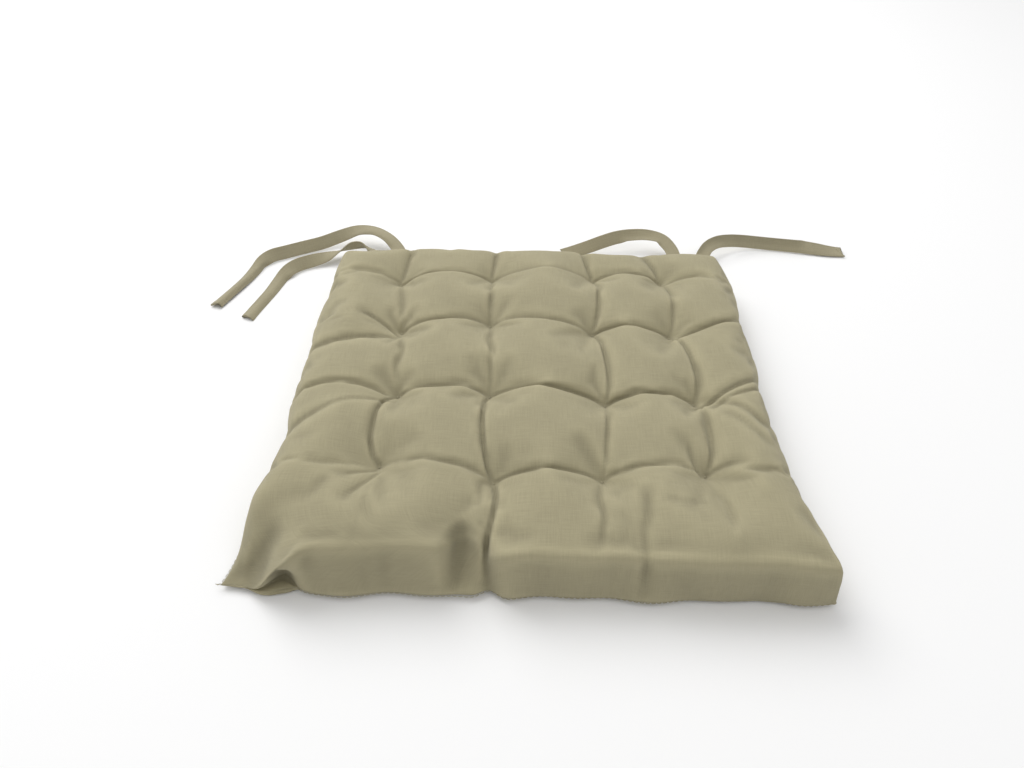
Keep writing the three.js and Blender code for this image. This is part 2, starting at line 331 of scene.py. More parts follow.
def cotton(name, colour):
    """Plain-weave cotton: its weave, its thick and thin threads, its worn raised places made lighter, and
    painted shade in its folds.
    """
    nodes = Nodes(name)
    cloth = nodes.attribute("cloth")
    weave = plain_weave(nodes, cloth)
    slubs = slubs_both_ways(nodes, cloth)
    patches = nodes.noise(cloth, PATCH_SCALE, 4)
    # Painted shade: folds and creases are made darker, and raised places are made lighter as wear.
    wear_and_fold_shade = nodes.add("ShaderNodeSeparateXYZ", {0: nodes.attribute("wear_and_fold_shade")}).outputs[0]
    tone = 1.0
    for value, weight in (
        (nodes.math("SUBTRACT", slubs, 1.0), SLUB_TONE),
        (nodes.math("SUBTRACT", patches, 0.5), PATCH_TONE),
        (weave, WEAVE_TONE),
        (wear_and_fold_shade, WEAR_AND_FOLD_SHADE_TONE),
    ):
        tone = nodes.math("ADD", nodes.math("MULTIPLY", value, weight), tone)
    rough = nodes.math("ADD", nodes.math("MULTIPLY", slubs, SLUB_ROUGHNESS), COTTON_ROUGHNESS)
    threads = nodes.math("ADD", weave, nodes.math("MULTIPLY", slubs, SLUB_HEIGHT))
    fine = nodes.bump(threads, WEAVE_DEPTH, WEAVE_STRENGTH)
    crumple = nodes.noise(cloth, CRUMPLE_SCALE, 3)
    soft = nodes.bump(crumple, CRUMPLE_DEPTH, CRUMPLE_STRENGTH, over=fine)
    nodes.feed(Base_Color=nodes.times_colour(tone, colour), Roughness=rough, Normal=soft)
    nodes.fix(Sheen_Weight=0.12, Sheen_Roughness=0.5, Specular_IOR_Level=0.25)
    return nodes.material


def sewing_thread():
    """Spun sewing thread, with its plies as a fine slanting ridge."""
    nodes = Nodes("sewing thread")
    cloth = nodes.attribute("cloth")
    wave = nodes.add("ShaderNodeTexWave", {"Vector": cloth}, {"Scale": PLY_SCALE}, bands_direction="DIAGONAL")
    plies = wave.outputs["Fac"]
    tone = nodes.math("ADD", nodes.math("MULTIPLY", plies, PLY_TONE), PLY_DARK)
    nodes.feed(
        Base_Color=nodes.times_colour(tone, THREAD),
        Normal=nodes.bump(plies, PLY_DEPTH, PLY_STRENGTH),
    )
    nodes.fix(Roughness=0.7)
    return nodes.material


COVER_CLOTH = cotton("cover cotton", COTTON)
TAPE_CLOTH = cotton("tape cotton", COTTON_TAPE)
SEWING_THREAD = sewing_thread()


# ---- Ties ----

TAPE_WIDTH = 15 * MM
TAPE_THICKNESS = 1.4 * MM
TAPE_STEPS = 9
LOWEST = (-9, -9, 0.2 * MM)  # no point of a tape goes below this Z. X and Y are out of reach.

# A tie starts level at its root, this far behind it, in the middle of the seam.
ROOT_GAP = 0.3 * MM
ROOT_STRETCH = (0, 6, 12, 18)
SEAM_CENTRE_Z = 6

# Each tie's route from its root, and how far it leans from flat, in degrees. The centre lines are
# the ones that the frame's tapes follow. The lean of the left outer tie's arch is its own.
TIES = {
    "tie_left_outer": [
        (-142, 223, 10, 2), (-150, 238, 14.5, 8), (-162, 252, 18.5, 13), (-179, 263, 19.5, 6),
        (-198, 266, 16.5, -18), (-218, 262, 11, -40), (-238, 253, 7.6, -46), (-258, 244, 6.8, -45),
        (-275, 235, 6.8, -45), (-288, 228, 6.8, -43), (-296, 219, 6.4, -24), (-301, 206, 5.6, 4),
        (-307, 190, 5.2, 22), (-314, 173, 5.2, 28), (-321, 156, 5.2, 28), (-328, 139, 5, 26),
    ],
    "tie_left_inner": [
        (-170, 221, 8, 0), (-177, 232, 12, 30), (-188, 239, 14.5, 58), (-201, 239, 13, 64),
        (-214, 233, 10, 32), (-228, 226, 7.2, -12), (-243, 218, 6.8, -38), (-256, 210, 6.8, -42),
        (-265, 200, 6, -26), (-271, 186, 4.4, 0), (-276, 169, 3.6, 12), (-281, 152, 3.4, 14),
        (-286, 135, 3.4, 14), (-290, 120, 3.4, 14),
    ],
    "tie_right_outer": [
        (192, 228, 9, 0), (199, 243, 13, 10), (211, 254, 14, 24), (226, 261, 12.5, 38),
        (243, 265, 10, 44), (263, 266, 7.6, 46), (284, 264, 6.8, 46), (305, 261, 6.6, 42),
        (325, 258, 5.6, 32), (343, 256, 4, 18), (360, 256, 2.4, 6),
    ],
    "tie_right_inner": [
        (162, 228, 10, 0), (158, 242, 14, -10), (149, 254, 17.5, -22), (134, 260, 18.5, -34),
        (117, 261, 18, -42), (100, 259, 16.5, -45), (84, 254, 14, -42), (68, 248, 11, -36),
        (52, 242, 8.5, -30), (37, 236, 7, -26),
    ],
}

# Where a tie is creased along its length: the shares of its length between which one third of
# its width is turned, and by how many degrees.
TAPE_CREASES = {
    "tie_left_outer": [(0.1, 0.34, -30), (0.68, 1.0, -74)],
    "tie_left_inner": [(0.62, 1.0, -52)],
    "tie_right_outer": [(0.15, 0.8, 38)],
    "tie_right_inner": [(0.3, 0.62, 30)],
}
TAPE_HINGE = -TAPE_WIDTH / 8
CREASE_TURN = 0.06  # the share of the length over which a crease starts or stops

# The end hem, how much thicker it is, where its fold is full, and how far the cut end slants.
HEM, HEM_THICKER, HEM_FULL = 7.5 * MM, 0.5, 0.9
END_SLANT = {"tie_left_outer": 0.3, "tie_left_inner": -0.2, "tie_right_outer": 0.9, "tie_right_inner": 0.4}

# Edge stitches: how far out they are as a share of half the width, how deep they sit, and how
# far they arch over the cloth.
EDGE_ROW, EDGE_SUNK, EDGE_ARCH = 0.78, 0.8, 0.16 * MM
EDGE_STITCH, EDGE_PITCH, EDGE_RADIUS = 2.2 * MM, 3.0 * MM, 0.17 * MM
EDGE_FIRST, EDGE_LAST = 3 * MM, 8 * MM
QUARTERS = (0, 0.25, 0.5, 0.75, 1)


def creased(section, name, share):
    """The tape's section at a share of its length, with its creased third turned."""
    turn = 0
    for begins, ends, angle in TAPE_CREASES[name]:
        inside = smoothstep(share, begins, begins + CREASE_TURN)
        if ends < 1:
            inside *= 1 - smoothstep(share, ends - CREASE_TURN, ends)
        turn += math.radians(angle) * inside
    made = []
    for x, y in section:
        if x < TAPE_HINGE:
            reach = TAPE_HINGE - x
            made.append((TAPE_HINGE - reach * math.cos(turn), y + reach * math.sin(turn)))
        else:
            made.append((x, y))
    return made


def tape_section():
    """The tape's section: rounded folded edges, and a dip at each row of stitches."""
    face = [(-0.985, 0.55), (-0.93, 0.92), (-0.86, 1.0), (-0.78, 0.82), (-0.70, 1.0), (-0.45, 0.96)]
    face += [(0, 0.9)] + [(-x, z) for x, z in reversed(face)]
    half = TAPE_WIDTH / 2
    over = [(x * half, z * (TAPE_THICKNESS / 2)) for x, z in face]
    under = [(x, -z) for x, z in reversed(over)]
    return [(-half, 0)] + over + [(half, 0)] + under


def tape_line(name):
    """A tie's centre line, its across and up directions, and the length at each point."""
    low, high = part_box(name + "_root")
    root_x, root_y = (low[0] + high[0]) / 2, high[1] + ROOT_GAP
    stops = [(root_x, root_y + back * MM, SEAM_CENTRE_Z * MM, 0) for back in ROOT_STRETCH]
    stops += [(x * MM, y * MM, z * MM, lean) for x, y, z, lean in TIES[name]]
    line = smooth_line(stops, TAPE_STEPS)
    points, leans = line[:, :3], np.radians(line[:, 3])
    tangents = unit_rows(np.gradient(points, axis=0))
    level = unit_rows(np.stack([tangents[:, 1], -tangents[:, 0], 0 * leans], 1))
    lift = np.cross(tangents, level)
    acrosses = level * np.cos(leans)[:, None] + lift * np.sin(leans)[:, None]
    return points, acrosses, np.cross(acrosses, tangents), lengths_along(points)


def tape_body(name, points, acrosses, ups, lengths):
    """The folded tape, and where its points lie on its flat cloth."""
    section = tape_section()
    hem = HEM / lengths[-1]
    onward = points[-1] - points[-2]
    onward /= np.linalg.norm(onward)
    long_edge = TAPE_WIDTH / 2 * np.sign(END_SLANT[name])
    made = []
    for point, across, up, share in zip(points, acrosses, ups, lengths / lengths[-1]):
        thicker = 1 + HEM_THICKER * smoothstep(share, 1 - hem, 1 - HEM_FULL * hem)
        for x, y in creased([(x, y * thicker) for x, y in section], name, share):
            cut = END_SLANT[name] * (x - long_edge) * (share == 1)
            made.append(np.maximum(point + across * x + up * y + onward * cut, LOWEST))
    cloth = [(x, length, 0) for length in lengths for x, _ in section]
    return (made, sweep(points, acrosses, ups, section)[1]), cloth


def edge_stitch(name, start, side, face, points, acrosses, ups, lengths):
    """The points of one stitch, near one edge and on one face of a tape."""
    dash = []
    for share in QUARTERS:
        at = start + share * EDGE_STITCH
        centre, across, up = (row_at(at, lengths, rows) for rows in (points, acrosses, ups))
        height = face * (TAPE_THICKNESS / 2 * EDGE_SUNK + EDGE_ARCH * math.sin(math.pi * share))
        [(x, y)] = creased([(side * EDGE_ROW * TAPE_WIDTH / 2, height)], name, at / lengths[-1])
        dash.append(np.maximum(centre + across * x + up * y, LOWEST))
    return dash


def make_tie(name):
    line = tape_line(name)
    points, lengths = line[0], line[-1]
    body, cloth = tape_body(name, *line)
    parts = Parts()
    parts.add(body, cloth=cloth)
    for side in (-1, 1):
        for face in (-1, 1):
            for start in np.arange(EDGE_FIRST, lengths[-1] - EDGE_LAST, EDGE_PITCH):
                stitch = edge_stitch(name, start, side, face, *line)
                parts.add_thread(stitch, EDGE_RADIUS, FINE_TUBE_SIDES)
    piece = parts.build(name.replace("tie_", "tape_"))
    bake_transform(piece)
    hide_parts(name)


for name in TIES:
    make_tie(name)


# ---- The pad's cover: its tufts and creases ----

ROWS, COLUMNS = 4, 4


def tuft_places():
    """Each tuft's X and Y, from its thread in the frame."""
    places = {}
    for row in range(ROWS):
        for column in range(COLUMNS):
            low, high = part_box(f"tuft_thread_r{row + 1}c{column + 1}")
            places[row, column] = ((np.array(low) + np.array(high)) / 2)[:2]
    return places


TUFTS = tuft_places()
TUFT_TOP_Z, TUFT_UNDER_Z = 31 * MM, 4 * MM

# The valleys between neighbouring tufts. Those along a row bow back by the same amount, and
# those along a column bow sideways. A strength of 1 is a crisp dark line, and 0.3 is a soft dip.
ROW_BOW = 5
ROW_STRENGTH = [(0.9, 0.4, 1.0), (0.6, 0.5, 1.0), (0.8, 1.0, 0.9), (0.35, 0.8, 0.4)]
COLUMN_BOW = [(2, 0, 5, 6), (1, 1, 6, 8), (-12, -7, 2, 7)]
COLUMN_STRENGTH = [(0.15, 0.35, 0.55, 0.5), (0.1, 0.35, 0.8, 0.7), (0.9, 1.1, 0.4, 0.6)]
BOW_SHAPE = [(0, 0), (0.12, 0.62), (0.3, 0.93), (0.5, 1), (0.7, 0.93), (0.88, 0.62), (1, 0)]

# Creases that run out from the tufts, as strength and stops on the plan.
LOOSE_CREASES = [
    (1.0, [(127, 50), (149, 60), (171, 69), (196, 80)]),
    (1.2, [(137, -38), (154, -29), (177, -14), (200, -1)]),
    (0.7, [(150, -41), (168, -28), (186, -19), (200, -12)]),
    (0.4, [(168, -36), (181, -45), (192, -58)]),
    (0.4, [(162, -48), (175, -60), (188, -78)]),
    (0.8, [(-116, -34), (-132, -38), (-152, -42), (-174, -55), (-200, -72)]),
    (0.5, [(-120, -26), (-145, -20), (-176, -20), (-200, -26)]),
    (0.9, [(-120, 52), (-131, 62), (-143, 69), (-160, 77)]),
    (0.7, [(-121, 50), (-152, 44), (-178, 38), (-206, 30)]),
    (0.6, [(-116, -108), (-126, -124), (-137, -140)]),
    (0.7, [(-118, -102), (-124, -92), (-130, -76)]),
    (0.5, [(-118, -106), (-130, -112), (-143, -118)]),
    (0.5, [(134, -110), (128, -98), (125, -80)]),
    (0.5, [(136, -106), (148, -102), (160, -100)]),
    (0.5, [(134, 140), (150, 146), (172, 148)]),
    (0.4, [(-130, 140), (-152, 146), (-176, 146)]),
    (1.6, [(-28, -118), (-26, -134), (-27, -150), (-30, -166), (-33, -186)]),
    (0.5, [(88, -134), (86, -150), (82, -166), (81, -184), (80, -197)]),
    (0.5, [(54, -118), (52, -135), (53, -157), (50, -181)]),
    (0.4, [(100, -139), (112, -143), (124, -141)]),
    (0.5, [(-130, 140), (-127, 160), (-124, 186)]),
    (0.6, [(-39, 148), (-37, 168), (-35, 192)]),
    (1.0, [(63, 150), (58, 170), (54, 196)]),
    (0.6, [(131, 148), (124, 168), (116, 190)]),
]


def bowed(start, end, bow):
    """A line between two tufts that leaves each one steeply and bows by a vector."""
    way = end - start
    return np.array([start + along * way + aside * bow for along, aside in BOW_SHAPE])


def valleys():
    """Each valley between neighbouring tufts, as its strength and its line on the plan."""
    lines = []
    for (row, column), place in TUFTS.items():
        if column + 1 < COLUMNS:
            bow = np.array([0, ROW_BOW * MM])
            lines.append((ROW_STRENGTH[row][column], bowed(place, TUFTS[row, column + 1], bow)))
        if row + 1 < ROWS:
            bow = np.array([COLUMN_BOW[row][column] * MM, 0])
            lines.append((COLUMN_STRENGTH[row][column], bowed(place, TUFTS[row + 1, column], bow)))
    return lines


CREASES = valleys() + [(strength, np.array(stops) * MM) for strength, stops in LOOSE_CREASES]


def line_distance(x, y, stops, steps):
    """From each point to a smooth line: the distance, the share along it, and 1 to its left."""
    line = smooth_line(stops, steps)
    best = np.full(x.shape, np.inf)
    share, side = np.zeros(x.shape), np.zeros(x.shape)
    for k, (start, end) in enumerate(zip(line, line[1:])):
        way = end - start
        part = np.clip(((x - start[0]) * way[0] + (y - start[1]) * way[1]) / (way @ way), 0, 1)
        distance = np.hypot(x - start[0] - part * way[0], y - start[1] - part * way[1])
        closer = distance < best
        best = np.where(closer, distance, best)
        share = np.where(closer, (k + part) / (len(line) - 1), share)
        turned = way[0] * (y - start[1]) - way[1] * (x - start[0])
        side = np.where(closer, np.sign(turned), side)
    return best, share, side


def tuft_distances(x, y):
    return [np.hypot(x - place[0], y - place[1]) for place in TUFTS.values()]


# ---- The cover before it is filled ----

CLOTH_GRID = 5.4 * MM
SEAM_Z, CROWN = 4.5 * MM, 43 * MM
FLARE, FLARE_FROM_Y = 12 * MM, -70 * MM
COVER_LOW, COVER_HIGH = (np.array(corner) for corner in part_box("cover_top"))
HALF_WIDTH = (COVER_HIGH[0] - COVER_LOW[0]) / 2 - FLARE
HALF_DEPTH = (COVER_HIGH[1] - COVER_LOW[1]) / 2

# How far in from the seam the cover has risen to its full height. The right side is steeper
# towards the front, from RIGHT_STEEPER_Y.
SIDE_RUN, BACK_RUN, FRONT_RUN, RIGHT_FRONT_RUN = 16 * MM, 13 * MM, 8 * MM, 5 * MM
RIGHT_STEEPER_Y = -90 * MM

# The outline's own shape. The powers keep each change close to its edge or its corner.
BACK_ROUNDING, BACK_CORNER_POWER = 9 * MM, 6
SIDE_POWER = 20
END_WAVES = [(1.6 * MM, 19 * MM, 0), (1.1 * MM, 8.7 * MM, 1)]  # height, length and phase
SIDE_WAVE, SIDE_WAVE_LENGTH = 1.5 * MM, 17 * MM

# Dips of the outline, as X, depth, width and power. The seam has a notch under the deep fold in
# the middle of the front and another beside the ear, and the back edge is drawn in once.
FRONT_NOTCH = (-29 * MM, 8 * MM, 8 * MM, 12)
EAR_NOTCH = (-181 * MM, 13 * MM, 11 * MM, 20)
BACK_DIP = (100 * MM, 8 * MM, 30 * MM, 8)

# The front left corner is a flat ear: how far it sticks out to the left, how much of that it
# comes back by, and where it starts to rise and has risen, across and back from its tip.
EAR_OUT, EAR_BACK_SHARE, EAR_POWER = 11 * MM, 0.6, 8
EAR_TIP = (-229 * MM, -192 * MM)
EAR_ACROSS = (24 * MM, 66 * MM)
EAR_BACK = (3 * MM, 60 * MM)

# The crisp ridge between the top and the front wall: X, its distance behind the foot, and Z.
# From X -61 to -31 it is the edge of the flap that slants down to the deep fold.
FRONT_RIDGE = [
    (-206, 1, 4), (-198, -4, 8), (-189, -9, 17), (-178, -8, 31), (-168, 2, 44), (-158, 12, 45),
    (-130, 14, 44.5), (-90, 15, 45), (-61, 15, 44.5), (-57, 27, 33), (-52, 36, 31),
    (-46, 36, 35), (-40, 29, 38), (-35, 20, 39), (-31, 16, 27), (-26, 8, 40),
    (-18, 8, 44.5), (-5, 9, 45), (40, 8, 44), (76, 8, 45), (82, 12, 42), (88, 8, 45),
    (120, 4, 44.5), (170, 3, 45), (205, 3, 44), (214, 3, 41),
]
RIDGE_SHIFT_REACH = 60 * MM
RIDGE_LIFT_REACH = 12 * MM

# How the cover sinks at its tufts and valleys.
PINCH_REACH, GROOVE_WIDTH = 11 * MM, 6 * MM
GROOVE_LEAST, GROOVE_PER_STRENGTH, GROOVE_PINCH = 0.07, 0.12, 0.8
VALLEY_STEPS = 3
TUFT_PULL = 24 * MM

UNDER_Z, UNDER_RUN, UNDER_TUFT_REACH = 0.3 * MM, 8 * MM, 10 * MM

# The grid is closer at a steep wall and near a row of tufts.
FINE_PLACES, WALL_RISE = 8001, 36 * MM
CROWDING, CROWDING_REACH = 1.1, 12 * MM

# Between these distances behind the front seam, the cloth goes from taut to its full spare length.
TAUT_FRONT = (12 * MM, 75 * MM)


def dip(x, t, place, depth, width, power):
    """How far a dip draws the outline in, for a share t towards that edge."""
    return depth * bell(x - place, width) * np.clip(t, 0, 1) ** power


def outline(s, t):
    """Where a point of the flat panel, s and t from -1 to 1, lies on the plan."""
    y = t * HALF_DEPTH
    flare = FLARE * smoothstep(-y, -FLARE_FROM_Y, HALF_DEPTH)
    ear = EAR_OUT * np.where((s < 0) & (t < 0), (s * t) ** EAR_POWER, 0)
    corner = np.where(t > 0, BACK_ROUNDING * (s * t) ** BACK_CORNER_POWER, 0)
    x = s * (HALF_WIDTH + flare) - np.sign(s) * corner - ear
    y = y - corner + EAR_BACK_SHARE * ear
    y = y + dip(x, -t, *FRONT_NOTCH)
    y = y + dip(x, -t, *EAR_NOTCH)
    y = y - dip(x, t, *BACK_DIP)
    wave = sum(height * np.sin(x / length + phase) for height, length, phase in END_WAVES)
    y = y + wave * np.abs(t) ** SIDE_POWER
    x = x + SIDE_WAVE * np.sin(y / SIDE_WAVE_LENGTH) * np.abs(s) ** SIDE_POWER
    return x, y


def drawn_to_tufts(x, y):
    """The grid with one of its points moved to each tuft, and which point that is."""
    tuft_points = {}
    shift_x, shift_y = np.zeros_like(x), np.zeros_like(x)
    for key, place in TUFTS.items():
        distance = np.hypot(x - place[0], y - place[1])
        nearest = np.unravel_index(np.argmin(distance), distance.shape)
        tuft_points[key] = nearest
        pull = bell(distance, TUFT_PULL)
        shift_x += pull * (place[0] - x[nearest])
        shift_y += pull * (place[1] - y[nearest])
    x, y = x + shift_x, y + shift_y
    for key, place in TUFTS.items():
        x[tuft_points[key]], y[tuft_points[key]] = place
    return x, y, tuft_points


def sunk(x, y):
    """How far the cover is pulled down, from 0 at its crown to 1 at a tuft."""
    pinch = np.max([np.exp(-distance / PINCH_REACH) for distance in tuft_distances(x, y)], axis=0)
    groove = np.zeros_like(x)
    for strength, stops in CREASES:
        distance = line_distance(x, y, stops, VALLEY_STEPS)[0]
        depth = GROOVE_LEAST + GROOVE_PER_STRENGTH * strength
        groove = np.maximum(groove, depth * bell(distance, GROOVE_WIDTH))
    return np.clip(np.maximum(pinch, groove + GROOVE_PINCH * pinch), 0, 1)


def ear_height(x, y):
    """The share of its height that the cover keeps near the front left corner, a flat ear."""
    across = smoothstep(x - EAR_TIP[0], *EAR_ACROSS)
    back = smoothstep(y - EAR_TIP[1], *EAR_BACK)
    return 1 - (1 - across) * (1 - back)


def rounded_rise(distance, run):
    """A quarter round: 0 at the seam and 1 from run inwards."""
    return np.sqrt(1 - (1 - np.clip(distance / run, 0, 1)) ** 2)


def front_ridge(x):
    """How far behind the front seam the ridge above the wall lies, and how high it is."""
    places, runs, heights = (np.array(values) * MM for values in zip(*FRONT_RIDGE))
    return np.interp(x, places, runs), np.interp(x, places, heights)


def moved_to_ridge(y, t, from_end, run):
    """Y with the grid's ridge line moved to where the ridge runs, and less so behind it."""
    blend = np.where(t < 0, np.clip(1 - from_end / RIDGE_SHIFT_REACH, 0, 1), 0)
    on_wall = from_end * (run / FRONT_RUN - 1)
    return y + np.where(from_end < FRONT_RUN, on_wall, run - FRONT_RUN) * blend


def crowned_top(s, t, x, y, from_side, from_end):
    """The top panel's height, without the ridge above the front wall."""
    near_front = np.where(s > 0, smoothstep(-y, -RIGHT_STEEPER_Y, HALF_DEPTH), 0)
    side = rounded_rise(from_side, SIDE_RUN + (RIGHT_FRONT_RUN - SIDE_RUN) * near_front)
    back = rounded_rise(from_end, BACK_RUN)
    crowned = CROWN - (CROWN - TUFT_TOP_Z) * sunk(x, y)
    return SEAM_Z + (crowned - SEAM_Z) * side * np.where(t > 0, back, 1) * ear_height(x, y)


def with_front_wall(top_z, t, from_end, ridge, edge_z):
    """The top's height with the front wall flat up to the ridge, and the top lifted to meet it."""
    line = np.arange(top_z.shape[1])
    ridge_from_end = from_end[:, ridge : ridge + 1]
    lift = (edge_z - top_z[:, ridge])[:, None] * bell(from_end - ridge_from_end, RIDGE_LIFT_REACH)
    lifted = np.where((t < 0) & (line >= ridge), top_z + lift, top_z)
    wall_z = SEAM_Z + (edge_z[:, None] - SEAM_Z) * np.clip(from_end / ridge_from_end, 0, 1)
    return np.where((t < 0) & (line < ridge), wall_z, lifted)


def under_height(x, y, from_side, from_end):
    """The bottom panel's height: flat, turned up at the seam and drawn up at each tuft."""
    rise = np.clip(np.minimum(from_side, from_end) / UNDER_RUN, 0, 1)
    nearest = np.min(tuft_distances(x, y), axis=0)
    return UNDER_Z + (SEAM_Z - UNDER_Z) * (1 - rise) + TUFT_UNDER_Z * bell(nearest, UNDER_TUFT_REACH)


def spaced(half, lines, low_run, high_run):
    """Grid places from -1 to 1, closer where the cover is steep or has a row of tufts."""
    fine = np.linspace(-half, half, FINE_PLACES)
    low_wall, high_wall = fine < -half + low_run, fine > half - high_run
    steep = WALL_RISE / low_run * low_wall + WALL_RISE / high_run * high_wall
    crowded = 1 + sum(CROWDING * bell(fine - line, CROWDING_REACH) for line in lines)
    density = np.hypot(1, steep) * crowded
    length = np.concatenate([[0], np.cumsum((density[1:] + density[:-1]) / 2 * np.diff(fine))])
    count = int(round(length[-1] / CLOTH_GRID))
    return np.interp(np.linspace(0, length[-1], count + 1), length, fine) / half


def cloth_places(x, y, z):
    """Where each point of a panel lies on its flat cloth, from lengths along the grid."""
    along = np.hypot(np.hypot(np.diff(x, axis=0), np.diff(y, axis=0)), np.diff(z, axis=0))
    back = np.hypot(np.hypot(np.diff(x, axis=1), np.diff(y, axis=1)), np.diff(z, axis=1))
    u = np.concatenate([np.zeros((1, x.shape[1])), np.cumsum(along, axis=0)])
    v = np.concatenate([np.zeros((x.shape[0], 1)), np.cumsum(back, axis=1)], axis=1)
    middle_u, middle_v = x.shape[0] // 2, x.shape[1] // 2
    return np.stack([u - u[middle_u], v - v[:, middle_v : middle_v + 1], 0 * u], -1)


def panel_faces(top, under):
    """The faces of both panels, from the point numbers of their grids."""
    faces = []
    for i in range(top.shape[0] - 1):
        for j in range(top.shape[1] - 1):
            faces.append((top[i, j], top[i + 1, j], top[i + 1, j + 1], top[i, j + 1]))
            faces.append((under[i, j], under[i, j + 1], under[i + 1, j + 1], under[i + 1, j]))
    return faces


def envelope():
    """The unfilled cover: points, faces, pins, places on the flat cloth, tautness and seam."""
    rows = [np.mean([TUFTS[r, c][1] for c in range(COLUMNS)]) for r in range(ROWS)]
    columns = [np.mean([TUFTS[r, c][0] for r in range(ROWS)]) for c in range(COLUMNS)]
    s, t = np.meshgrid(
        spaced(HALF_WIDTH, columns, SIDE_RUN, SIDE_RUN),
        spaced(HALF_DEPTH, rows, FRONT_RUN, BACK_RUN),
        indexing="ij",
    )
    from_side = (1 - np.abs(s)) * HALF_WIDTH
    from_end = (1 - np.abs(t)) * HALF_DEPTH
    x, y, tuft_points = drawn_to_tufts(*outline(s, t))
    run, ridge_z = front_ridge(x)
    y = moved_to_ridge(y, t, from_end, run)

    front_half = from_end[0, : (s.shape[1] - 1) // 2]
    ridge = int(np.argmin(np.abs(front_half - FRONT_RUN)))
    ridge_x = x[:, ridge]
    on_ridge = (ridge_x > FRONT_RIDGE[0][0] * MM) & (ridge_x < FRONT_RIDGE[-1][0] * MM)
    top_z = crowned_top(s, t, x, y, from_side, from_end)
    edge_z = np.where(on_ridge, ridge_z[:, ridge], top_z[:, ridge])
    top_z = with_front_wall(top_z, t, from_end, ridge, edge_z)
    under_z = under_height(x, y, from_side, from_end)

    on_seam = (np.abs(s) == 1) | (np.abs(t) == 1)
    top = np.arange(x.size).reshape(x.shape)
    under = top.copy()
    under[~on_seam] = x.size + np.arange((~on_seam).sum())
    over_points = np.stack([x, y, top_z], -1).reshape(-1, 3)
    points = np.concatenate([over_points, np.stack([x, y, under_z], -1)[~on_seam]])
    pins = {int(v) for v in top[on_seam]} | {int(v) for v in top[on_ridge, ridge]}
    for place in tuft_points.values():
        pins.update((int(top[place]), int(under[place])))
        points[top[place], 2] = TUFT_TOP_Z
        points[under[place], 2] = TUFT_UNDER_Z

    over_cloth = cloth_places(x, y, top_z).reshape(-1, 3)
    cloth = np.concatenate([over_cloth, np.stack([x, y, 0 * x], -1)[~on_seam]])
    taut = np.ones(len(points))
    taut[top] = np.where(t < 0, 1 - smoothstep(from_end, *TAUT_FRONT), 0)
    seam = np.concatenate([top[:, 0], top[-1, 1:], top[-2::-1, -1], top[0, -2:0:-1]])
    return points, panel_faces(top, under), sorted(pins), cloth, taut, seam


# ---- Filling the cover ----

SIM_FRAMES = 30

# shrink_min is negative for spare cloth, which the group of taut points doesn't have.
CLOTH_SETTINGS = {
    "quality": 5,
    "mass": 0.15,
    "tension_stiffness": 15,
    "compression_stiffness": 15,
    "shear_stiffness": 5,
    "bending_stiffness": 2,
    "tension_damping": 5,
    "compression_damping": 5,
    "shear_damping": 5,
    "air_damping": 2,
    "shrink_min": -0.035,
    "shrink_max": 0,
    "vertex_group_shrink": "taut",
    "use_pressure": True,
    "uniform_pressure_force": 14.0,
    "vertex_group_mass": "pins",
}


def square(half):
    """Points and the one face of a level square at the floor."""
    return [(-half, -half, 0), (half, -half, 0), (half, half, 0), (-half, half, 0)], [(0, 1, 2, 3)]


def fill_cover(cover, pins, taut):
    """Blows the cover up by cloth simulation and keeps the result in its mesh."""
    floor = add_mesh("sim_floor", *square(1))
    floor.modifiers.new("Collision", "COLLISION")
    floor.collision.thickness_outer = 1 * MM
    floor.collision.cloth_friction = 20
    cover.vertex_groups.new(name="pins").add(pins, 1, "REPLACE")
    taut_group = cover.vertex_groups.new(name="taut")
    for place, weight in enumerate(taut):
        taut_group.add([place], float(weight), "REPLACE")
    modifier = cover.modifiers.new("Cloth", "CLOTH")
    for key, value in CLOTH_SETTINGS.items():
        setattr(modifier.settings, key, value)
    modifier.settings.effector_weights.gravity = 0
    modifier.collision_settings.use_collision = True
    modifier.collision_settings.distance_min = 0.5 * MM
    modifier.collision_settings.use_self_collision = False
    modifier.point_cache.frame_start = 1
    modifier.point_cache.frame_end = SIM_FRAMES
    for number in range(1, SIM_FRAMES + 1):
        scene.frame_set(number)
    shaped = cover.evaluated_get(bpy.context.evaluated_depsgraph_get())
    points = points_of(shaped.to_mesh())
    shaped.to_mesh_clear()
    cover.modifiers.remove(modifier)
    cover.vertex_groups.clear()
    set_points(cover.data, points)
    scene.frame_set(1)
    bpy.data.objects.remove(floor)


# ---- Finishing the cover ----

# A crease is a narrow line with a raised lip beside it. It fades in and out at the shares of its
# length, and only where the cloth faces up enough.
CREASE_DEPTH, CREASE_WIDTH, CREASE_LIP = 2.1 * MM, 1.3 * MM, 0.5 * MM
LIP_AWAY, LIP_WIDTH = 2.2 * CREASE_WIDTH, 2 * CREASE_WIDTH
CREASE_MARGIN, CREASE_STEPS = 8 * CREASE_WIDTH, 6
CREASE_FADE_IN, CREASE_FADE_OUT = (0, 0.08), (0.85, 1)
FACING_UP = (-0.1, 0.25)

# The dark recess beside the ear: X and Z of its middle, its size both ways, and its depth.
EAR_RECESS = (-180 * MM, 16 * MM)
EAR_RECESS_SIZE, EAR_RECESS_DEPTH = (10 * MM, 13 * MM), 9 * MM
FACING_FRONT = (0.3, 0.7)

# How many rounds of neighbour averaging give the surrounding surface, and how far a point must stand out or
# sink in to get the full wear lightening or the full painted shade.
WEAR_AND_SHADE_ROUNDS, WEAR_AND_SHADE_FULL = 4, 0.5 * MM


